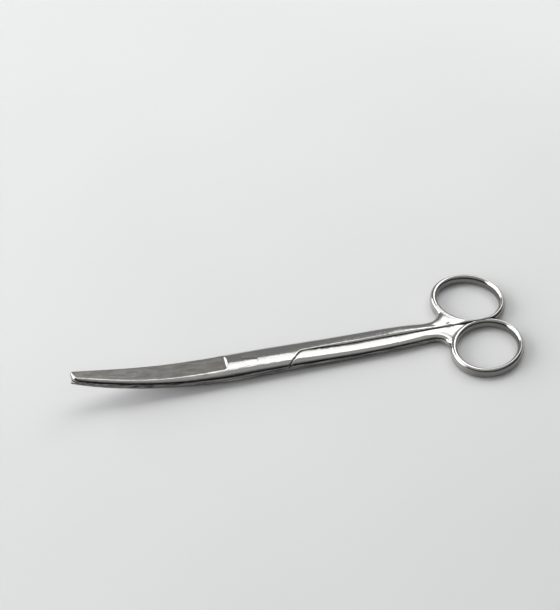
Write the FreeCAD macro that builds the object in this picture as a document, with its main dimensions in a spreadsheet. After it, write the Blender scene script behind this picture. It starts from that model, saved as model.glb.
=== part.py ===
"""Curved operating scissors for cutting sutures: two forged halves and a slotted pivot screw.

Frame: the pivot axis is Z through the origin, z = 0 is the underside that the scissors
lie on, the tips point towards -X, the finger rings towards +X. Millimetres.

The two halves cross at the joint. The upper half has its blade on top and the ring on
the +Y side; the lower half has its blade underneath and the ring on the -Y side.
Both are cut out of one closed outline, as a forged pair is ground together.
"""
import FreeCAD
import Part
import Sketcher
import math
import os

# Driving sizes in millimetres and degrees, one spreadsheet cell each.
SIZES = {
    # where the sections of the closed scissors lie, measured from the pivot
    "blade_length": 66.4,
    "blade_front_reach": 58.0,
    "blade_middle_reach": 45.0,
    "blade_back_reach": 30.0,
    "blade_root_reach": 12.0,
    "shoulder_section_reach": 18.0,
    "shank_middle_reach": 40.0,
    "neck_reach": 65.0,
    "web_reach": 79.0,
    # widths over both halves, measured across the closed scissors
    "tip_width": 4.7,
    "blade_front_width": 6.8,
    "blade_middle_width": 8.8,
    "blade_back_width": 10.3,
    "blade_root_width": 11.2,
    "joint_width": 11.3,
    "shoulder_width": 11.0,
    "shank_middle_width": 10.9,
    "neck_width": 9.4,
    "web_width": 9.0,
    # thicknesses over both halves
    "tip_thickness": 4.4,
    "blade_front_thickness": 5.6,
    "blade_middle_thickness": 6.1,
    "blade_back_thickness": 6.4,
    "joint_thickness": 7.0,
    "shoulder_thickness": 6.5,
    "shank_middle_thickness": 5.5,
    "neck_thickness": 5.2,
    "web_thickness": 5.0,
    # shape of the rounded section
    "side_fullness": 0.88,
    "underside_flat": 0.06,
    # the blades curve upwards on the flat
    "curve_start": 4.5,
    "curve_radius": 170.0,
    "blade_relief": 0.075,
    "nose_radius": 3.6,
    "nose_offset": 0.8,
    # ground outer face of each blade, as heights above the mating face
    "ground_root_height": 2.8,
    "ground_back_height": 2.25,
    "ground_middle_height": 2.03,
    "ground_front_height": 1.92,
    "ground_tip_height": 1.6,
    "ground_tilt": 7.5,
    "ground_end": 10.3,
    "wheel_radius": 2.2,
    "edge_land": 0.15,
    "edge_angle": 20.0,
    # lap joint
    "shoulder_reach": 19.4,
    "shoulder_angle": 44.0,
    "shoulder_round": 3.0,
    "parting_gap": 0.2,
    "parting_chamfer_width": 0.8,
    "parting_chamfer_depth": 0.55,
    "parting_chamfer_start": 0.02,
    # pivot screw
    "head_diameter": 5.4,
    "head_height": 1.7,
    "screw_diameter": 3.6,
    "slot_width": 0.8,
    "slot_depth": 0.7,
    "slot_angle": 9.0,
    "running_clearance": 0.05,
    "thread_clearance": 0.02,
    # finger rings
    "ring_reach": 89.35,
    "ring_spread": 11.9,
    "ring_length": 29.3,
    "ring_breadth": 25.9,
    "ring_turn": 20.5,
    "ring_bar": 2.6,
    "ring_thickness": 4.8,
    "ring_edge_round": 1.2,
    # web between shank and ring
    "web_start": 62.0,
    "web_arc": 5.2,
    "web_arc_reach": 70.6,
    "web_end": 84.5,
    "web_height": 4.5,
    "web_edge_round": 2.1,
    "web_inset": 0.15,
    # how far cutting shapes run past the metal, and how long those are that go right through it
    "overrun": 8.0,
    "through": 48.0,
}

doc = FreeCAD.newDocument("SutureScissors")
sheet = doc.addObject("Spreadsheet::Sheet", "Sizes")
for row, (alias, number) in enumerate(SIZES.items(), start=1):
    sheet.set(f"A{row}", alias.replace("_", " "))
    sheet.set(f"B{row}", str(number))
    sheet.setAlias(f"B{row}", alias)
doc.recompute()


def cell(alias):
    """Expression text that reads one cell of the sheet."""
    return f"Sizes.{alias}"


# Heights of the joint's mating faces, of its crest and of the screw head's seat
MID_HEIGHT = "(Sizes.joint_thickness / 2 - Sizes.underside_flat)"
CREST_HEIGHT = "(Sizes.joint_thickness - Sizes.underside_flat)"
SEAT_HEIGHT = f"({CREST_HEIGHT} - Sizes.head_height)"

# Half axes of a ring's middle line
RING_LONG_HALF = "((Sizes.ring_length - Sizes.ring_bar) / 2)"
RING_SHORT_HALF = "((Sizes.ring_breadth - Sizes.ring_bar) / 2)"

# Largest difference in millimetres between two places that count as the same
SAME_PLACE = 1e-6


def number_of(expression):
    """Present value of an expression, to draw a sketch near its solved shape."""
    return float(sheet.evalExpression(expression))


def bind(item, **expressions):
    """Bind properties of a document object; double underscores stand for dots."""
    for name, expression in expressions.items():
        item.setExpression(name.replace("__", "."), expression)


def plane_of(body, role):
    """Origin plane of a body, found by its role."""
    return next(item for item in body.Origin.OriginFeatures if item.Role == role)


def new_sketch(body, name, role, x="0", y="0", z="0", axis=(0, 0, 1), angle="0"):
    """Sketch on an origin plane, moved in the plane's own axes and turned about one of them."""
    sketch = body.newObject("Sketcher::SketchObject", name)
    sketch.AttachmentSupport = [(plane_of(body, role), "")]
    sketch.MapMode = "FlatFace"
    place = FreeCAD.Vector(number_of(x), number_of(y), number_of(z))
    turn = FreeCAD.Rotation(FreeCAD.Vector(*axis), number_of(angle))
    sketch.AttachmentOffset = FreeCAD.Placement(place, turn)
    for coordinate, expression in (("x", x), ("y", y), ("z", z)):
        if expression != "0":
            sketch.setExpression(f"AttachmentOffset.Base.{coordinate}", expression)
    if angle != "0":
        sketch.setExpression("AttachmentOffset.Rotation.Angle", angle)
    return sketch


def bind_constraint(sketch, expression, *constraint):
    """Add one dimension to a sketch and bind it to an expression."""
    index = sketch.addConstraint(Sketcher.Constraint(*constraint, number_of(expression)))
    sketch.setExpression(f"Constraints[{index}]", expression)


def draw_oval(sketch, half_width, half_height, fullness):
    """Closed oval of four tangent arcs, symmetric about both sketch axes."""
    half_width = f"({half_width})"
    half_height = f"({half_height})"
    side = f"({fullness} * {half_height})"
    reach = f"({half_width} - {side})"
    crown = f"(({half_height}^2 + {reach}^2 - {side}^2) / (2 * ({half_height} - {side})))"
    side_radius, reach_value, crown_radius = (number_of(text) for text in (side, reach, crown))
    crown_centre = number_of(half_height) - crown_radius
    lean = math.atan2(-crown_centre, reach_value)
    normal = FreeCAD.Vector(0, 0, 1)
    arcs = (
        (FreeCAD.Vector(reach_value, 0, 0), side_radius, -lean, lean),
        (FreeCAD.Vector(0, crown_centre, 0), crown_radius, lean, math.pi - lean),
        (FreeCAD.Vector(-reach_value, 0, 0), side_radius, math.pi - lean, math.pi + lean),
        (FreeCAD.Vector(0, -crown_centre, 0), crown_radius, math.pi + lean, 2 * math.pi - lean),
    )
    for centre, radius, start, end in arcs:
        sketch.addGeometry(Part.ArcOfCircle(Part.Circle(centre, normal, radius), start, end))
    for arc in range(4):
        sketch.addConstraint(Sketcher.Constraint("Tangent", arc, 2, (arc + 1) % 4, 1))
    sketch.addConstraint(Sketcher.Constraint("PointOnObject", 0, 3, -1))
    sketch.addConstraint(Sketcher.Constraint("PointOnObject", 1, 3, -2))
    sketch.addConstraint(Sketcher.Constraint("Symmetric", 0, 3, 2, 3, -1, 1))
    sketch.addConstraint(Sketcher.Constraint("Equal", 1, 3))
    bind_constraint(sketch, side, "Radius", 0)
    bind_constraint(sketch, reach, "DistanceX", -1, 1, 0, 3)
    bind_constraint(sketch, crown, "Radius", 1)


def draw_polygon(sketch, corners):
    """Closed polygon whose corners are pairs of expressions."""
    points = [FreeCAD.Vector(number_of(x), number_of(y), 0) for x, y in corners]
    count = len(points)
    for side in range(count):
        sketch.addGeometry(Part.LineSegment(points[side], points[(side + 1) % count]))
    for side, (x, y) in enumerate(corners):
        sketch.addConstraint(Sketcher.Constraint("Coincident", side, 2, (side + 1) % count, 1))
        bind_constraint(sketch, x, "DistanceX", -1, 1, side, 1)
        bind_constraint(sketch, y, "DistanceY", -1, 1, side, 1)


def draw_arc_outline(sketch, corners, centre):
    """Closed outline of straight lines, whose last corner goes back to the first along an arc.

    The arc runs counter-clockwise about its centre, which the first corner gives its radius.
    """
    points = [FreeCAD.Vector(number_of(x), number_of(y), 0) for x, y in corners]
    middle = FreeCAD.Vector(*(number_of(coordinate) for coordinate in centre), 0)
    for first, second in zip(points, points[1:]):
        sketch.addGeometry(Part.LineSegment(first, second))
    start, end = (math.atan2(point.y - middle.y, point.x - middle.x) for point in (points[-1], points[0]))
    circle = Part.Circle(middle, FreeCAD.Vector(0, 0, 1), middle.distanceToPoint(points[0]))
    arc = sketch.addGeometry(Part.ArcOfCircle(circle, start, end))
    for side in range(arc + 1):
        sketch.addConstraint(Sketcher.Constraint("Coincident", side, 2, (side + 1) % (arc + 1), 1))
    bind_constraint(sketch, centre[0], "DistanceX", -1, 1, arc, 3)
    bind_constraint(sketch, centre[1], "DistanceY", -1, 1, arc, 3)
    for side, (x, y) in enumerate(corners[:-1]):
        bind_constraint(sketch, x, "DistanceX", -1, 1, side, 1)
        bind_constraint(sketch, y, "DistanceY", -1, 1, side, 1)
    bind_constraint(sketch, corners[-1][0], "DistanceX", -1, 1, arc, 1)


def loft(body, name, sections):
    """Solid through a row of sketches."""
    feature = body.newObject("PartDesign::AdditiveLoft", name)
    feature.Profile = sections[0]
    feature.Sections = sections[1:]
    feature.Ruled = False
    return feature


def pad(body, name, sketch, length):
    """Pad of a sketch, half its length to each side."""
    feature = body.newObject("PartDesign::Pad", name)
    feature.Profile = sketch
    feature.SideType = "Symmetric"
    feature.setExpression("Length", length)
    return feature


def boolean(kind, name, *parts):
    """Part boolean of two or more objects."""
    if kind == "Cut":
        item = doc.addObject("Part::Cut", name)
        item.Base, item.Tool = parts
    else:
        item = doc.addObject(f"Part::Multi{kind}", name)
        item.Shapes = list(parts)
    item.Refine = False
    return item


def blade_frame(reach):
    """Height and slope of the blades' mating surface, as expressions, at a distance in front of the pivot."""
    slope = f"asin(({reach} - Sizes.curve_start) / Sizes.curve_radius)"
    height = f"({MID_HEIGHT} + Sizes.curve_radius * (1 - cos({slope})))"
    return height, slope


def blade_section(body, name, reach):
    """Empty sketch square to the blades' curve; its x runs along +Y, its y away from the mating face."""
    height, slope = blade_frame(cell(reach))
    return new_sketch(body, name, "YZ_Plane", y=height, z=f"-Sizes.{reach}", axis=(1, 0, 0), angle=slope)


BLADE_SECTIONS = (
    ("blade_length", "tip"),
    ("blade_front_reach", "blade_front"),
    ("blade_middle_reach", "blade_middle"),
    ("blade_back_reach", "blade_back"),
)


def closed_outline():
    """Both halves together: a curved bar of oval sections, flattened along its underside."""
    body = doc.addObject("PartDesign::Body", "closed_outline")
    sections = []
    for reach, place in BLADE_SECTIONS:
        sketch = blade_section(body, f"{place}_section", reach)
        draw_oval(sketch, f"Sizes.{place}_width / 2", f"Sizes.{place}_thickness / 2", cell("side_fullness"))
        sections.append(sketch)
    root = blade_section(body, "blade_root_section", "blade_root_reach")
    draw_oval(root, "Sizes.blade_root_width / 2", "Sizes.joint_thickness / 2", cell("side_fullness"))
    sections.append(root)
    straight_sections = (
        ("joint", "0"),
        ("shoulder", cell("shoulder_section_reach")),
        ("shank_middle", cell("shank_middle_reach")),
        ("neck", cell("neck_reach")),
        ("web", cell("web_reach")),
    )
    for place, reach in straight_sections:
        half_height = f"Sizes.{place}_thickness / 2"
        sketch = new_sketch(
            body, f"{place}_section", "YZ_Plane", y=f"{half_height} - Sizes.underside_flat", z=reach
        )
        draw_oval(sketch, f"Sizes.{place}_width / 2", half_height, cell("side_fullness"))
        sections.append(sketch)
    loft(body, "outline_loft", sections)
    flat = new_sketch(body, "underside_sketch", "XZ_Plane")
    back = "Sizes.web_reach + Sizes.overrun"
    front = "-(Sizes.blade_root_reach + Sizes.overrun)"
    draw_polygon(flat, ((front, "0"), (back, "0"), (back, "-Sizes.overrun"), (front, "-Sizes.overrun")))
    pocket = body.newObject("PartDesign::Pocket", "underside_pocket")
    pocket.Profile = flat
    pocket.SideType = "Symmetric"
    pocket.setExpression("Length", cell("through"))
    return body


def mating_layer(name, up):
    """Everything above (up = 1) or below (up = -1) the mating faces of the two halves.

    The face is flat at the joint. Along the blades it follows their curve, set back
    by the blade relief so that only the joint and the edges bear on each other.
    """
    body = doc.addObject("PartDesign::Body", name)
    sketch = new_sketch(body, f"{name}_sketch", "XZ_Plane")
    sign = "" if up == 1 else "-"
    relief = f"({sign}Sizes.blade_relief)"
    centre_height = f"({MID_HEIGHT} + Sizes.curve_radius)"
    radius = f"(Sizes.curve_radius - {relief})"
    front = "-(Sizes.blade_length + Sizes.overrun)"
    back = "Sizes.web_reach + Sizes.overrun"
    outer = f"{MID_HEIGHT} + Sizes.curve_radius / 2" if up == 1 else "-Sizes.overrun"
    run = f"(Sizes.blade_length + Sizes.overrun - Sizes.curve_start)"
    front_height = f"{centre_height} - sqrt({radius}^2 - {run}^2)"
    corners = (
        ("-Sizes.curve_start", f"{MID_HEIGHT} + {relief}"),
        ("-Sizes.curve_start", MID_HEIGHT),
        (back, MID_HEIGHT),
        (back, outer),
        (front, outer),
        (front, front_height),
    )
    draw_arc_outline(sketch, corners, ("-Sizes.curve_start", centre_height))
    pad(body, f"{name}_pad", sketch, cell("through"))
    return body


def shank_zone(name, side, outset):
    """Plan zone of one shank behind its shoulder, on the +Y (side = 1) or -Y (side = -1) side.

    The shoulder is a slanting line whose inner corner is rounded into the parting line.
    outset moves the whole edge outwards, to cut room for the shank out of the other half.
    """
    body = doc.addObject("PartDesign::Body", name)
    turn = "0" if side == 1 else "180"
    sketch = new_sketch(body, f"{name}_sketch", "XY_Plane", axis=(1, 0, 0), angle=turn)
    radius = f"(Sizes.shoulder_round + {outset})"
    centre_x = "(Sizes.shoulder_reach + Sizes.shoulder_round * tan(Sizes.shoulder_angle / 2))"
    centre_y = "(Sizes.parting_gap / 2 + Sizes.shoulder_round)"
    edge = f"({centre_y} - {radius})"
    depth = "(Sizes.shoulder_width / 2 + Sizes.overrun)"
    slant_x = f"({centre_x} - {radius} * sin(Sizes.shoulder_angle))"
    slant_y = f"({centre_y} - {radius} * cos(Sizes.shoulder_angle))"
    outer_x = f"({slant_x} - ({depth} - {slant_y}) / tan(Sizes.shoulder_angle))"
    back = "(Sizes.web_reach + Sizes.overrun)"
    corners = ((centre_x, edge), (back, edge), (back, depth), (outer_x, depth), (slant_x, slant_y))
    draw_arc_outline(sketch, corners, (centre_x, centre_y))
    pad(body, f"{name}_pad", sketch, cell("through"))
    return body


def ground_face(name, up):
    """What the grinding wheel takes off the outer face of one blade.

    The face follows the blade's curve, tilts down towards the cutting edge and ends at
    the joint in the hollow that the wheel's rim leaves.
    """
    body = doc.addObject("PartDesign::Body", f"{name}_sweep")
    stations = (
        ("ground_end", "ground_root_height"),
        ("blade_back_reach", "ground_back_height"),
        ("blade_middle_reach", "ground_middle_height"),
        ("blade_front_reach", "ground_front_height"),
        ("blade_length", "ground_tip_height"),
    )
    half_span = "(Sizes.joint_width)"
    fall = f"({half_span} * tan(Sizes.ground_tilt))"
    outer = "(Sizes.joint_thickness / 2 + Sizes.overrun)"
    sections = []
    for reach, height_name in stations:
        sketch = blade_section(body, f"{name}_{reach}", reach)
        height = cell(height_name)
        corners = [
            (f"-{half_span}", f"{height} + {fall}"),
            (half_span, f"{height} - {fall}"),
            (half_span, outer),
            (f"-{half_span}", outer),
        ]
        if up == -1:
            corners = [(f"-({x})", f"-({y})") for x, y in corners]
        draw_polygon(sketch, corners)
        sections.append(sketch)
    loft(body, f"{name}_loft", sections)
    height, slope = blade_frame(cell("ground_end"))
    rise = f"({'' if up == 1 else '-'}(Sizes.ground_root_height + Sizes.wheel_radius))"
    wheel = doc.addObject("Part::Cylinder", f"{name}_rim")
    lean = "90 - Sizes.ground_tilt"
    turn = FreeCAD.Rotation(FreeCAD.Vector(1, 0, 0), number_of(lean))
    wheel.Placement = FreeCAD.Placement(FreeCAD.Vector(), turn)
    bind(
        wheel,
        Radius=cell("wheel_radius"),
        Height=f"2 * {half_span}",
        Placement__Rotation__Angle=lean,
        Placement__Base__x=f"-Sizes.ground_end + {rise} * sin({slope})",
        Placement__Base__y=half_span,
        Placement__Base__z=f"{height} + {rise} * cos({slope}) - {fall}",
    )
    return boolean("Fuse", name, body, wheel)


def edge_bevel(name, side):
    """What the steep facet takes off beside one blade's cutting edge, on the side = +Y or -Y edge."""
    body = doc.addObject("PartDesign::Body", name)
    lean = "tan(Sizes.edge_angle)"
    reach_out = "Sizes.overrun"
    sections = []
    for reach, place in BLADE_SECTIONS + (("blade_root_reach", "blade_root"),):
        sketch = blade_section(body, f"{name}_{place}", reach)
        edge = f"(Sizes.{place}_width / 2 - Sizes.edge_land)"
        corners = [
            (f"{edge} + {reach_out} * {lean}", f"-{reach_out}"),
            (f"{edge} + 2 * {reach_out}", f"-{reach_out}"),
            (f"{edge} + 2 * {reach_out}", reach_out),
            (f"{edge} - {reach_out} * {lean}", reach_out),
        ]
        if side == -1:
            corners = [(f"-({x})", f"-({y})") for x, y in corners]
        draw_polygon(sketch, corners)
        sections.append(sketch)
    loft(body, f"{name}_loft", sections)
    return body


def tip_trim(name, side):
    """What lies outside a blade's round nose: the space in front of a ball's middle, less the ball.

    The ball sits towards the cutting edge (side = +Y or -Y), so that the blade's back is rounded most.
    """
    centre_reach = "(Sizes.blade_length - Sizes.nose_radius)"
    centre_height, slope = blade_frame(centre_reach)
    ball = doc.addObject("Part::Sphere", f"{name}_ball")
    bind(
        ball,
        Radius=cell("nose_radius"),
        Placement__Base__x=f"-{centre_reach}",
        Placement__Base__y=f"{side} * Sizes.nose_offset",
        Placement__Base__z=centre_height,
    )
    space = doc.addObject("Part::Box", f"{name}_space")
    turn = FreeCAD.Rotation(FreeCAD.Vector(0, 1, 0), number_of(slope))
    space.Placement = FreeCAD.Placement(FreeCAD.Vector(), turn)
    bind(
        space,
        Length=cell("overrun"),
        Width="2 * Sizes.overrun",
        Height="2 * Sizes.overrun",
        Placement__Rotation__Angle=slope,
        Placement__Base__x=f"-{centre_reach} - Sizes.overrun * (cos({slope}) + sin({slope}))",
        Placement__Base__y="-Sizes.overrun",
        Placement__Base__z=f"{centre_height} + Sizes.overrun * (sin({slope}) - cos({slope}))",
    )
    return boolean("Cut", name, space, ball)


def parting_chamfer(name, up):
    """Diamond-shaped bar that cuts the V between the shanks, along their top or underside."""
    body = doc.addObject("PartDesign::Body", name)
    half_width = "(Sizes.parting_gap / 2 + Sizes.parting_chamfer_width)"
    stations = (
        (cell("shoulder_reach"), "shoulder", cell("parting_chamfer_start")),
        (cell("shank_middle_reach"), "shank_middle", "1"),
        (cell("neck_reach"), "neck", "1"),
        (cell("web_reach"), "web", "1"),
        ("Sizes.web_reach + Sizes.overrun", "web", "1"),
    )
    sections = []
    for number, (reach, place, share) in enumerate(stations, start=1):
        height = f"Sizes.{place}_thickness - Sizes.underside_flat" if up == 1 else "0"
        sketch = new_sketch(body, f"{name}_{number}", "YZ_Plane", y=height, z=reach)
        across = f"({share} * {half_width})"
        deep = f"({share} * Sizes.parting_chamfer_depth)"
        draw_polygon(sketch, ((across, "0"), ("0", deep), (f"-{across}", "0"), ("0", f"-{deep}")))
        sections.append(sketch)
    loft(body, f"{name}_loft", sections)
    return body


def ring(name, side):
    """Rounded bar bent round the finger opening, turned so that the rings close up at the back."""
    body = doc.addObject("PartDesign::Body", name)
    turn = f"{-side} * Sizes.ring_turn"
    place = FreeCAD.Vector(number_of(cell("ring_reach")), side * number_of(cell("ring_spread")), 0)
    rotation = FreeCAD.Rotation(FreeCAD.Vector(0, 0, 1), number_of(turn))
    body.Placement = FreeCAD.Placement(place, rotation)
    bind(
        body,
        Placement__Base__x=cell("ring_reach"),
        Placement__Base__y=f"{side} * Sizes.ring_spread",
        Placement__Base__z="Sizes.ring_thickness / 2",
        Placement__Rotation__Angle=turn,
    )
    path = new_sketch(body, f"{name}_plan", "XY_Plane")
    for inset in ("0", cell("ring_bar")):
        draw_ellipse(path, f"(Sizes.ring_length / 2 - {inset})", f"(Sizes.ring_breadth / 2 - {inset})")
    bar = pad(body, f"{name}_pad", path, cell("ring_thickness"))
    doc.recompute()
    rims = [
        f"Edge{number}"
        for number, edge in enumerate(bar.Shape.Edges, start=1)
        if isinstance(edge.Curve, Part.Ellipse)
    ]
    rounding = body.newObject("PartDesign::Fillet", f"{name}_rounding")
    rounding.Base = (bar, rims)
    rounding.setExpression("Radius", cell("ring_edge_round"))
    return body


def draw_ellipse(sketch, long_half, short_half):
    """Full ellipse about the sketch's origin with its long axis along x."""
    ellipse = Part.Ellipse(FreeCAD.Vector(0, 0, 0), number_of(long_half), number_of(short_half))
    curve = sketch.addGeometry(ellipse)
    sketch.exposeInternalGeometry(curve)
    sketch.addConstraint(Sketcher.Constraint("Coincident", curve, 3, -1, 1))
    sketch.addConstraint(Sketcher.Constraint("PointOnObject", curve + 1, 1, -1))
    bind_constraint(sketch, f"2 * {long_half}", "Distance", curve + 1)
    bind_constraint(sketch, f"2 * {short_half}", "Distance", curve + 2)


def ring_web(name, side):
    """Flat web that flares the shank into its ring through a hollow curve, outside the finger opening."""
    body = doc.addObject("PartDesign::Body", name)
    turn = "0" if side == 1 else "180"
    height = "(Sizes.ring_thickness / 2)"
    outline_sketch = new_sketch(body, f"{name}_outline", "XY_Plane", z=height, axis=(1, 0, 0), angle=turn)
    shank_side = "(Sizes.web_width / 2 - Sizes.web_inset)"
    arc_y = f"({shank_side} + Sizes.web_arc)"
    corners = (
        ("Sizes.web_arc_reach + Sizes.web_arc", arc_y),
        ("Sizes.web_end", arc_y),
        ("Sizes.web_end", "0"),
        ("Sizes.web_start", "0"),
        ("Sizes.web_start", shank_side),
        ("Sizes.web_arc_reach", shank_side),
    )
    draw_arc_outline(outline_sketch, corners, (cell("web_arc_reach"), arc_y))
    plate = pad(body, f"{name}_pad", outline_sketch, cell("web_height"))
    doc.recompute()
    rounding = body.newObject("PartDesign::Fillet", f"{name}_rounding")
    rounding.Base = (plate, outer_edges(plate.Shape, number_of(shank_side)))
    rounding.setExpression("Radius", cell("web_edge_round"))
    opening = new_sketch(
        body,
        f"{name}_opening",
        "XY_Plane",
        x=cell("ring_reach"),
        y=f"{side} * Sizes.ring_spread",
        z=height,
        angle=f"{-side} * Sizes.ring_turn",
    )
    draw_ellipse(opening, RING_LONG_HALF, RING_SHORT_HALF)
    pocket = body.newObject("PartDesign::Pocket", f"{name}_pocket")
    pocket.Profile = opening
    pocket.SideType = "Symmetric"
    pocket.setExpression("Length", cell("through"))
    return body


def outer_edges(shape, shank_side):
    """Names of the level edges along the web's outer side: the straight run and the hollow curve."""
    names = []
    for number, edge in enumerate(shape.Edges, start=1):
        first, last = (vertex.Point for vertex in edge.Vertexes)
        level = abs(first.z - last.z) < SAME_PLACE
        distances = [abs(point.y) for point in (first, last)]
        on_side = min(distances) > shank_side - SAME_PLACE
        curved = isinstance(edge.Curve, Part.Circle)
        straight_run = max(distances) < shank_side + SAME_PLACE
        if level and on_side and (curved or straight_run):
            names.append(f"Edge{number}")
    return names


def pivot_blank():
    """Turned screw with a cheese head and a driver slot, longer than the joint at both ends."""
    body = doc.addObject("PartDesign::Body", "pivot_blank")
    profile = new_sketch(body, "pivot_profile", "XZ_Plane")
    top = f"({CREST_HEIGHT} + Sizes.overrun)"
    corners = (
        ("0", "-Sizes.overrun"),
        ("Sizes.screw_diameter / 2", "-Sizes.overrun"),
        ("Sizes.screw_diameter / 2", SEAT_HEIGHT),
        ("Sizes.head_diameter / 2", SEAT_HEIGHT),
        ("Sizes.head_diameter / 2", top),
        ("0", top),
    )
    draw_polygon(profile, corners)
    turned = body.newObject("PartDesign::Revolution", "pivot_turned")
    turned.Profile = profile
    turned.ReferenceAxis = (profile, ["V_Axis"])
    turned.Angle = 360
    slot = new_sketch(body, "slot_sketch", "XY_Plane", z=top, angle="-Sizes.slot_angle")
    half_length = "Sizes.head_diameter"
    half_width = "(Sizes.slot_width / 2)"
    draw_polygon(
        slot,
        (
            (half_length, half_width),
            (f"-{half_length}", half_width),
            (f"-{half_length}", f"-{half_width}"),
            (half_length, f"-{half_width}"),
        ),
    )
    doc.recompute()
    pocket = body.newObject("PartDesign::Pocket", "slot")
    pocket.Profile = slot
    pocket.setExpression("Length", "Sizes.overrun + Sizes.slot_depth")
    return body


def drill(name, diameter, from_height, to_height):
    """Vertical hole about the pivot axis."""
    hole = doc.addObject("Part::Cylinder", name)
    bind(
        hole,
        Radius=f"({diameter}) / 2",
        Height=f"({to_height}) - ({from_height})",
        Placement__Base__z=from_height,
    )
    return hole


def handle_side(name, side):
    """Space on one side of the parting line, round the rings and the web."""
    block = doc.addObject("Part::Box", name)
    width = "(Sizes.ring_spread + Sizes.ring_length)"
    bind(
        block,
        Length="Sizes.ring_reach + Sizes.ring_length - Sizes.web_start + Sizes.overrun",
        Width=width,
        Height="Sizes.ring_thickness + 2 * Sizes.overrun",
        Placement__Base__x="Sizes.web_start - Sizes.overrun",
        Placement__Base__y="Sizes.parting_gap / 2" if side == 1 else f"-Sizes.parting_gap / 2 - {width}",
        Placement__Base__z="-Sizes.overrun",
    )
    return block


def finger_handle(name, side):
    """Ring and web of one half, flattened where the two rings lie against each other."""
    body = boolean("Fuse", f"{name}_whole", ring(f"{name}_ring", side), ring_web(f"{name}_web", side))
    return boolean("Common", f"{name}_handle", body, handle_side(f"{name}_side", side))


def cut_away(name, blank, tools):
    """Blank less each tool in turn; the last cut carries the given name."""
    for number, tool in enumerate(tools, start=1):
        step = name if number == len(tools) else f"{name}_cut_{number}"
        blank = boolean("Cut", step, blank, tool)
    return blank


outline = closed_outline()
above = mating_layer("above_mating", 1)
below = mating_layer("below_mating", -1)
top_chamfer = parting_chamfer("top_chamfer", 1)
bottom_chamfer = parting_chamfer("bottom_chamfer", -1)
doc.recompute()

upper_layer = boolean("Common", "upper_layer", outline, above)
upper_front = boolean("Cut", "upper_front", upper_layer, shank_zone("near_room", -1, cell("parting_gap")))
upper_shank = boolean("Common", "upper_shank", outline, below, shank_zone("far_shank", 1, "0"))
upper_blank = boolean("Fuse", "upper_blank", upper_front, upper_shank, finger_handle("far", 1))
running_bore = drill(
    "running_bore", "Sizes.screw_diameter + 2 * Sizes.running_clearance", "-Sizes.overrun", CREST_HEIGHT
)
head_recess = drill(
    "head_recess",
    "Sizes.head_diameter + 2 * Sizes.running_clearance",
    SEAT_HEIGHT,
    f"{CREST_HEIGHT} + Sizes.overrun",
)
upper_half = cut_away(
    "upper_half",
    upper_blank,
    (
        tip_trim("upper_tip", 1),
        ground_face("upper_ground", 1),
        edge_bevel("upper_bevel", 1),
        top_chamfer,
        bottom_chamfer,
        running_bore,
        head_recess,
    ),
)

lower_layer = boolean("Common", "lower_layer", outline, below)
lower_front = boolean("Cut", "lower_front", lower_layer, shank_zone("far_room", 1, cell("parting_gap")))
lower_shank = boolean("Common", "lower_shank", outline, above, shank_zone("near_shank", -1, "0"))
lower_blank = boolean("Fuse", "lower_blank", lower_front, lower_shank, finger_handle("near", -1))
threaded_bore = drill(
    "threaded_bore", "Sizes.screw_diameter + 2 * Sizes.thread_clearance", "-Sizes.overrun", CREST_HEIGHT
)
lower_half = cut_away(
    "lower_half",
    lower_blank,
    (
        tip_trim("lower_tip", -1),
        ground_face("lower_ground", -1),
        edge_bevel("lower_bevel", -1),
        top_chamfer,
        bottom_chamfer,
        threaded_bore,
    ),
)

pivot_screw = boolean("Common", "pivot_screw", pivot_blank(), outline)
doc.recompute()

SUB_PARTS = (upper_half, lower_half, pivot_screw)
for item in doc.Objects:
    if "Invalid" in item.State or "Error" in item.State:
        raise RuntimeError(f"{item.Name} did not build: {item.State}")
os.makedirs("parts", exist_ok=True)
for item in SUB_PARTS:
    shape = item.Shape
    if shape.isNull() or not shape.isValid() or len(shape.Solids) != 1:
        raise RuntimeError(f"{item.Name} is not one valid solid")
    item.Label = item.Name
    shape.exportStep(f"parts/{item.Label}.step")
    box = shape.optimalBoundingBox()
    print(
        f"{item.Label}: {shape.Volume:.1f} mm3, {len(shape.Faces)} faces, "
        f"x {box.XMin:.2f}..{box.XMax:.2f}, y {box.YMin:.2f}..{box.YMax:.2f}, "
        f"z {box.ZMin:.2f}..{box.ZMax:.2f}"
    )
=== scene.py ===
"""Looks of a pair of curved suture scissors: satin and polished steel on a pale floor."""
import math

import bpy
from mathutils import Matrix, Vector


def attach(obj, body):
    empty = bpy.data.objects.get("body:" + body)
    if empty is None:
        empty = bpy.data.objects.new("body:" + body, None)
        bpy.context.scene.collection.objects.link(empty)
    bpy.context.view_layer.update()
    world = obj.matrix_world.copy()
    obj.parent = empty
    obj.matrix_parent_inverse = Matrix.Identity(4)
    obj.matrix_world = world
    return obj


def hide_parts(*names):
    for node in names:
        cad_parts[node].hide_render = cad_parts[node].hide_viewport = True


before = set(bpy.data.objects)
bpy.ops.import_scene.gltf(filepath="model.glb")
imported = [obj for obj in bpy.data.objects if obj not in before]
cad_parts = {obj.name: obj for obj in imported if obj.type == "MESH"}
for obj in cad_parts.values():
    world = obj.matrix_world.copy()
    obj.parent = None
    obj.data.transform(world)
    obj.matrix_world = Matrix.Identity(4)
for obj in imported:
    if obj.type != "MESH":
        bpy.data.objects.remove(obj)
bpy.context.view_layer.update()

MM = 0.001

# Shape of the part that the polishing and the finishes follow, in millimetres and degrees
CURVE_START = 4.5
CURVE_RADIUS = 170.0
RING_REACH = 89.35
RING_SPREAD = 11.9
RING_TURN = 20.5
RING_LONG_HALF = 13.35
RING_SHORT_HALF = 11.65
RING_BAR = 2.6
RING_THICKNESS = 4.8
HEAD_RADIUS = 2.7
SCREW_RADIUS = 1.8
SEAT_HEIGHT = 5.24

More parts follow.
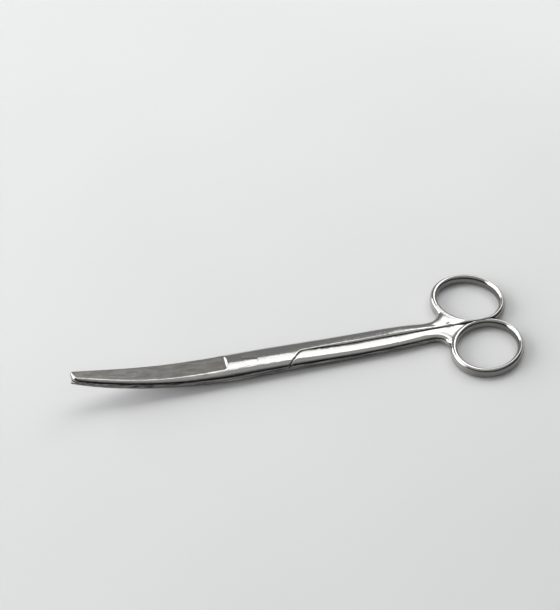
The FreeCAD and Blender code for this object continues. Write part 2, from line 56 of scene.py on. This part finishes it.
# Even grid that the halves are polished on, and the rounds of each polishing
MERGE_DISTANCE = 0.001 * MM
GRID_SIZE = 0.23 * MM
EDGE_ROUNDS = 4
WEB_ROUNDS = 50
CREASE_ANGLE = 40.0

# Ranges in millimetres over which a polishing comes in: out from the screw, along the webs,
# out from the parting line and out from the middle line of a ring's bar
SCREW_MARGIN = (HEAD_RADIUS + 0.5, HEAD_RADIUS + 1.5)
WEB_FRONT = (58.0, 66.0)
WEB_BACK = (90.0, 84.0)
SEAM_FRONT_MARGIN = 1.2
SEAM_BACK_MARGIN = 0.6
SEAM_NARROWING = (66.0, 76.0)
SEAM_FADE = 0.2
BAR_MARGIN = (0.3, 1.3)

# Share of its breadth that a ring's bar has left at the top and the underside
RING_WAIST = 0.45

# The screw's breadth grows by this factor, to fill the holes whose rims the polishing widens
SCREW_GROWTH = 1.07
HOLE_GAP = 0.03
HOLE_SIDES = 96
HOLE_BOTTOM = -1.0
HOLE_TOP = 10.0
SEAT_OVERLAP = 0.1

# Ranges over which the satin of the ground faces and the painted shade of the flanks and ring walls come
# in: by the upward or sideways part of the surface's direction, by the reach from the pivot and by the
# height over the blades' curve
SIDEWAYS = (0.55, 0.88)
UPRIGHT = (0.75, 0.3)
FACING_UP = (0.8, 0.9)
RING_WALLS = (74.0, 82.0)
FLANKS = (82.0, 70.0)
GROUND_FRONT = (-10.0, -10.4)
GROUND_LEVEL = (2.0, 2.5)

# Long streaks of the polishing wheel and soft clouds of the ground faces
STREAK_STRETCH = 0.05
STREAK_DENSITY = 4.0
STREAK_CONTRAST = (0.4, 0.6)
STREAK_DEPTH = 0.04 * MM
STREAK_STRENGTH = 0.15
CLOUD_STRETCH = 0.4
CLOUD_DENSITY = 1.2
CLOUD_CONTRAST = (0.3, 0.7)
FLOOR_CLOUD_SCALE = 0.01

# View of the photograph
VIEW_TARGET = (18.4, 28.9, 0.0)
VIEW_AZIMUTH = -13.333
VIEW_ELEVATION = 49.178
VIEW_DISTANCE = 547.0
FOCAL_PIXELS = 1400.0
LONG_SIDE_PIXELS = 610.0
SENSOR_WIDTH = 36.0
NEAR_CLIP = 0.01

# Brightness of the room in three directions, and where one goes over into the next
ROOM_BEHIND = 0.3
ROOM_CEILING = 0.5
ROOM_LOW = 0.05
ROOM_CLIMB = (0.3, 0.7)
ROOM_TURN = (-0.1, 0.1)
ROOM_TINT = (0.98, 1.0, 1.0, 1.0)

FLOOR_SIZE = 6.0
FLOOR_DROP = 0.02 * MM


class Wire:
    """A shader socket that sums can be written on; each operation adds its node."""

    def __init__(self, finish, socket):
        self.finish = finish
        self.socket = socket

    def calc(self, operation, *values):
        return self.finish.node("Math", {"operation": operation}, dict(enumerate(values)))

    def __add__(self, other):
        return self.calc("ADD", self, other)

    def __radd__(self, other):
        return self.calc("ADD", other, self)

    def __sub__(self, other):
        return self.calc("SUBTRACT", self, other)

    def __rsub__(self, other):
        return self.calc("SUBTRACT", other, self)

    def __mul__(self, other):
        return self.calc("MULTIPLY", self, other)

    def __rmul__(self, other):
        return self.calc("MULTIPLY", other, self)

    def __truediv__(self, other):
        return self.calc("DIVIDE", self, other)

    def __neg__(self):
        return 0 - self

    def larger(self, other):
        return self.calc("MAXIMUM", self, other)

    def root(self):
        return self.calc("SQRT", self)

    def size(self):
        return self.calc("ABSOLUTE", self)

    def part(self, axis):
        """One of the three parts of a vector."""
        return self.finish.node("SeparateXYZ", sockets={"Vector": self}, result=axis)

    def step(self, low, high):
        """0 below low, 1 above high, smooth between them; low may be the larger one."""
        sockets = {"Value": self, "From Min": low, "From Max": high}
        return self.finish.node("MapRange", {"interpolation_type": "SMOOTHSTEP"}, sockets)


class Finish:
    """The nodes of a procedural material, or of the room."""

    def __init__(self, owner):
        owner.use_nodes = True
        self.owner = owner
        self.tree = owner.node_tree
        self.tree.nodes.clear()

    def node(self, kind, settings=None, sockets=None, result=0):
        """Adds one node: its settings first, then the values or links of its sockets."""
        made = self.tree.nodes.new("ShaderNode" + kind)
        for setting, value in (settings or {}).items():
            setattr(made, setting, value)
        for socket, value in (sockets or {}).items():
            if isinstance(value, Wire):
                self.tree.links.new(value.socket, made.inputs[socket])
            else:
                made.inputs[socket].default_value = value
        return Wire(self, made.outputs[result])

    def place(self):
        """Object coordinates in millimetres, as three sockets."""
        coordinates = self.node("TexCoord", result="Object")
        return [coordinates.part(axis) / MM for axis in "XYZ"]

    def noise(self, x, y, z, scale, detail=2.0, roughness=0.5):
        point = self.node("CombineXYZ", sockets={"X": x, "Y": y, "Z": z})
        sockets = {"Vector": point, "Scale": scale, "Detail": detail, "Roughness": roughness}
        return self.node("TexNoise", sockets=sockets)

    def blend(self, share, first, second):
        """Colour that goes from first to second with share."""
        factor, colour_a, colour_b, colour_result = 0, 6, 7, 2
        sockets = {factor: share, colour_a: first, colour_b: second}
        return self.node("Mix", {"data_type": "RGBA"}, sockets, colour_result)

    def close(self, shader, kind):
        """Links the last shader to the output."""
        output = self.tree.nodes.new("ShaderNodeOutput" + kind)
        self.tree.links.new(shader.socket, output.inputs["Surface"])
        return self.owner


def new_material(name):
    return Finish(bpy.data.materials.new(name))


def grey(value, warmth=0.0):
    """Linear grey, a little warmer or colder."""
    return (value * (1 + warmth), value, value * (1 - warmth), 1.0)


def steel_finish():
    """Stainless steel of the halves: satin ground blades and polished rings, with painted shade on the
    streaked flanks and on the ring walls.
    """
    finish = new_material("scissor_steel")
    x, y, z = finish.place()
    run = (-x - CURVE_START).larger(0.0)
    level = z - (CURVE_RADIUS - (CURVE_RADIUS ** 2 - run * run).root())

    normal = finish.node("TexCoord", result="Normal")
    upwards = normal.part("Z").size()
    # Masks for painted shade: faces turned sideways along the shanks and blades, and the upright walls of
    # the rings
    flank_shade_mask = normal.part("Y").size().step(*SIDEWAYS) * x.step(*FLANKS)
    ring_wall_shade_mask = upwards.step(*UPRIGHT) * x.step(*RING_WALLS)
    ground = x.step(*GROUND_FRONT) * upwards.step(*FACING_UP) * level.step(*GROUND_LEVEL)

    streaks = finish.noise(x * STREAK_STRETCH, y * STREAK_DENSITY, level * STREAK_DENSITY, 1.0, 4.0, 0.6)
    clouds = finish.noise(x * CLOUD_STRETCH, y * CLOUD_DENSITY, level, 0.5, 3.0)
    crown = finish.blend(streaks, grey(0.42, 0.02), grey(0.56, 0.02))
    # Painted shade: the flanks get a dark grey with the polishing streaks in it, standing in for the dark
    # reflections that the side faces catch
    flank_painted_shade = finish.blend(streaks.step(*STREAK_CONTRAST), grey(0.03, 0.04), grey(0.24, 0.04))
    brushed = finish.blend(clouds.step(*CLOUD_CONTRAST), grey(0.42, 0.05), grey(0.56, 0.05))
    colour = finish.blend(ground, finish.blend(flank_shade_mask, crown, flank_painted_shade), brushed)
    # Painted shade: the upright walls of the ring bars are darkened to a flat dark grey
    colour = finish.blend(ring_wall_shade_mask, colour, grey(0.2, 0.03))
    roughness = 0.11 + streaks * 0.09 + ground * 0.1

    relief = {"Height": streaks, "Strength": STREAK_STRENGTH, "Distance": STREAK_DEPTH}
    bump = finish.node("Bump", sockets=relief, result="Normal")
    sockets = {"Base Color": colour, "Metallic": 1.0, "Roughness": roughness, "Normal": bump}
    return finish.close(finish.node("BsdfPrincipled", sockets=sockets), "Material")


def screw_finish():
    finish = new_material("screw_steel")
    marks = finish.noise(*finish.place(), 2.0, 3.0)
    colour = finish.blend(marks, grey(0.48, 0.02), grey(0.6, 0.02))
    sockets = {"Base Color": colour, "Metallic": 1.0, "Roughness": 0.1 + marks * 0.1}
    return finish.close(finish.node("BsdfPrincipled", sockets=sockets), "Material")


def floor_finish():
    finish = new_material("pale_floor")
    cloud = finish.noise(*finish.place(), FLOOR_CLOUD_SCALE, 1.0)
    sockets = {"Base Color": finish.blend(cloud, grey(0.64), grey(0.68)), "Roughness": 0.9}
    return finish.close(finish.node("BsdfPrincipled", sockets=sockets), "Material")


def assign(piece, material):
    piece.data.materials.clear()
    piece.data.materials.append(material)


def ease(value, low, high):
    """0 below low, 1 above high, smooth between them; low may be the larger one."""
    share = min(max((value - low) / (high - low), 0.0), 1.0)
    return share * share * (3 - 2 * share)


def ring_place(x, y):
    """Offset outwards from the middle line of the nearer ring, and the unit vector that it runs along."""
    side = 1 if y > 0 else -1
    across = Vector((x - RING_REACH, y - side * RING_SPREAD))
    turn = math.radians(side * RING_TURN)
    along = across.x * math.cos(turn) - across.y * math.sin(turn)
    beside = across.x * math.sin(turn) + across.y * math.cos(turn)
    share = math.hypot(along / RING_LONG_HALF, beside / RING_SHORT_HALF)
    return across.length * (1 - 1 / share), across.normalized()


def round_rings(mesh):
    """Turns the flat-sided bars of the finger rings into oval ones."""
    for vertex in mesh.vertices:
        x, y, z = vertex.co / MM
        offset, outwards = ring_place(x, y)
        level = min(abs(z / RING_THICKNESS * 2 - 1), 1.0)
        hold = ease(abs(offset), RING_BAR, RING_BAR / 2) * ease(x, RING_REACH - RING_LONG_HALF, RING_REACH)
        shift = outwards * offset * (RING_WAIST - 1) * level * level * hold * MM
        vertex.co.x += shift.x
        vertex.co.y += shift.y


def away_from_screw(x, y):
    """0 at the screw and its holes, 1 further out."""
    return ease(math.hypot(x, y), *SCREW_MARGIN)


def on_web(x, y):
    """1 where the shank flares into its ring, 0 at the parting line and on the ring."""
    offset = ring_place(x, y)[0]
    seam = SEAM_FRONT_MARGIN + (SEAM_BACK_MARGIN - SEAM_FRONT_MARGIN) * ease(x, *SEAM_NARROWING)
    beside_seam = ease(abs(y), seam, 2 * seam + SEAM_FADE)
    return ease(x, *WEB_FRONT) * ease(x, *WEB_BACK) * beside_seam * ease(offset, *BAR_MARGIN)


def polish(piece, name, weight, rounds):
    """Smooths the surface where the weight, a function of the place in millimetres, is above 0."""
    group = piece.vertex_groups.new(name=name)
    for vertex in piece.data.vertices:
        group.add([vertex.index], weight(*(vertex.co.xy / MM)), "REPLACE")
    smooth = piece.modifiers.new(name, "SMOOTH")
    smooth.factor = 0.5
    smooth.iterations = rounds
    smooth.vertex_group = group.name
    bpy.ops.object.modifier_apply(modifier=smooth.name)


def drill(piece, radius, low, high):
    """Cuts a clean upright hole about the pivot axis."""
    bpy.ops.mesh.primitive_cylinder_add(
        vertices=HOLE_SIDES,
        radius=radius * MM,
        depth=(high - low) * MM,
        location=(0, 0, (low + high) / 2 * MM),
    )
    cutter = bpy.context.object
    hole = piece.modifiers.new("hole", "BOOLEAN")
    hole.operation = "DIFFERENCE"
    hole.solver = "EXACT"
    hole.object = cutter
    bpy.context.view_layer.objects.active = piece
    bpy.ops.object.modifier_apply(modifier=hole.name)
    bpy.data.objects.remove(cutter)


def copy_node(node, name):
    """New piece with its own copy of a solid's mesh."""
    piece = bpy.data.objects.new(name, bpy.data.objects[node].data.copy())
    bpy.context.scene.collection.objects.link(piece)
    return piece


def make_half(node, body, material):
    """Copy of one half with the rounded edges and blended corners that polishing leaves."""
    bpy.ops.object.select_all(action="DESELECT")
    piece = copy_node(node, f"{node}_polished")
    piece.select_set(True)
    bpy.context.view_layer.objects.active = piece
    bpy.ops.object.mode_set(mode="EDIT")
    bpy.ops.mesh.select_all(action="SELECT")
    bpy.ops.mesh.remove_doubles(threshold=MERGE_DISTANCE)
    bpy.ops.object.mode_set(mode="OBJECT")

    remesh = piece.modifiers.new("even_grid", "REMESH")
    remesh.mode = "VOXEL"
    remesh.voxel_size = GRID_SIZE
    bpy.ops.object.modifier_apply(modifier=remesh.name)
    round_rings(piece.data)
    polish(piece, "away_from_screw", away_from_screw, EDGE_ROUNDS)
    polish(piece, "on_web", on_web, WEB_ROUNDS)
    drill(piece, SCREW_RADIUS * SCREW_GROWTH + HOLE_GAP, HOLE_BOTTOM, SEAT_HEIGHT + SEAT_OVERLAP)
    drill(piece, HEAD_RADIUS * SCREW_GROWTH + HOLE_GAP, SEAT_HEIGHT, HOLE_TOP)

    bpy.ops.object.select_all(action="DESELECT")
    piece.select_set(True)
    bpy.ops.object.shade_smooth_by_angle(angle=math.radians(CREASE_ANGLE))
    assign(piece, material)
    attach(piece, body)
    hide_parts(node)


def make_screw():
    """Copy of the screw that fills its holes."""
    piece = copy_node("pivot_screw", "pivot_screw_fitted")
    for vertex in piece.data.vertices:
        vertex.co.x *= SCREW_GROWTH
        vertex.co.y *= SCREW_GROWTH
    assign(piece, screw_finish())
    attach(piece, "lower_scissor_half")
    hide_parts("pivot_screw")


def make_floor():
    bpy.ops.object.select_all(action="DESELECT")
    bpy.ops.mesh.primitive_plane_add(size=FLOOR_SIZE, location=(0, 0, -FLOOR_DROP))
    floor = bpy.context.object
    floor.name = "floor"
    assign(floor, floor_finish())


def make_room():
    """Dim room: grey behind the scissors, lighter above the camera and dark low down in front."""
    world = bpy.data.worlds.new("room")
    room = Finish(world)
    direction = room.node("TexCoord", result="Generated")
    front = ROOM_LOW + (ROOM_CEILING - ROOM_LOW) * direction.part("Z").step(*ROOM_CLIMB)
    brightness = front + (ROOM_BEHIND - front) * direction.part("Y").step(*ROOM_TURN)
    room.close(room.node("Background", sockets={"Color": ROOM_TINT, "Strength": brightness}), "World")
    bpy.context.scene.world = world


def softbox(name, place, aim, width, depth, watts):
    """A flat soft light at a place, turned to its aim."""
    light = bpy.data.lights.new(name, "AREA")
    light.shape = "RECTANGLE"
    light.size = width
    light.size_y = depth
    light.energy = watts
    holder = bpy.data.objects.new(name, light)
    bpy.context.scene.collection.objects.link(holder)
    holder.location = place
    direction = Vector(aim) - Vector(place)
    holder.rotation_euler = direction.to_track_quat("-Z", "Y").to_euler()


def make_lights():
    softbox("overhead", place=(-0.1, 0.33, 0.9), aim=(-0.1, 0.33, 0.0), width=2.0, depth=0.48, watts=5.0)
    softbox("overhead_core", place=(-0.1, 0.2, 0.89), aim=(-0.1, 0.2, 0.0), width=2.0, depth=0.2, watts=0.8)
    softbox("window", place=(-1.0, 0.3, 0.5), aim=(0.0, 0.0, 0.0), width=1.7, depth=0.9, watts=16.0)
    softbox("far_right", place=(0.3, 0.31, 0.36), aim=(0.3, 0.31, 0.0), width=0.22, depth=0.22, watts=0.45)


def make_camera():
    camera = bpy.data.cameras.new("photo_view")
    camera.sensor_width = SENSOR_WIDTH
    camera.lens = FOCAL_PIXELS / LONG_SIDE_PIXELS * SENSOR_WIDTH
    camera.clip_start = NEAR_CLIP
    holder = bpy.data.objects.new("photo_view", camera)
    bpy.context.scene.collection.objects.link(holder)
    azimuth = math.radians(VIEW_AZIMUTH)
    elevation = math.radians(VIEW_ELEVATION)
    back = Vector(
        (
            math.sin(azimuth) * math.cos(elevation),
            -math.cos(azimuth) * math.cos(elevation),
            math.sin(elevation),
        )
    )
    holder.location = (Vector(VIEW_TARGET) + back * VIEW_DISTANCE) * MM
    holder.rotation_euler = back.to_track_quat("Z", "Y").to_euler()
    bpy.context.scene.camera = holder


steel = steel_finish()
make_half("upper_half", "upper_scissor_half", steel)
make_half("lower_half", "lower_scissor_half", steel)
make_screw()
make_floor()
make_room()
make_lights()
make_camera()
bpy.context.scene.view_settings.view_transform = "Standard"
